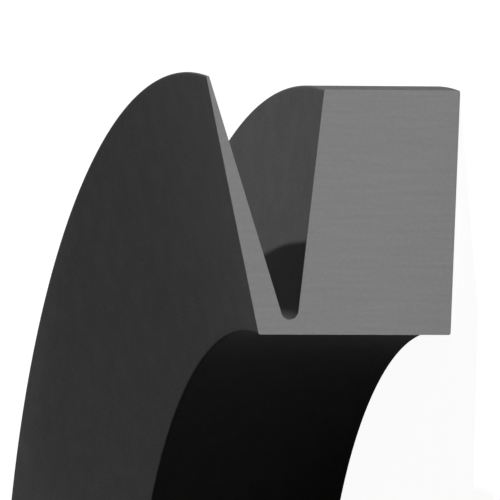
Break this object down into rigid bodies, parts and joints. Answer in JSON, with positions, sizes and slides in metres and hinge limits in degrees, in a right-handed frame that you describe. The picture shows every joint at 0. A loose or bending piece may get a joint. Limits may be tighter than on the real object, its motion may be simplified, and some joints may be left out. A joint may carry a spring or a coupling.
{
  "type": "v ring seal",
  "caption": "Rubber V ring shaft seal cut away to show its section: square body with a cylindrical bore, V groove and thin conical sealing lip.",
  "frame": {"origin": "on the ring axis, at the flat back face that the ring lies on", "axes": "+Z along the ring axis from the back face to the lip; the pictured cut face lies in the XZ plane on the +X side"},
  "size_m": [0.0174, 0.0174, 0.0035],
  "materials": {
    "rubber": "matte"
  },
  "bodies": {
    "root": {"v_ring": "rubber"}
  },
  "joints": []
}
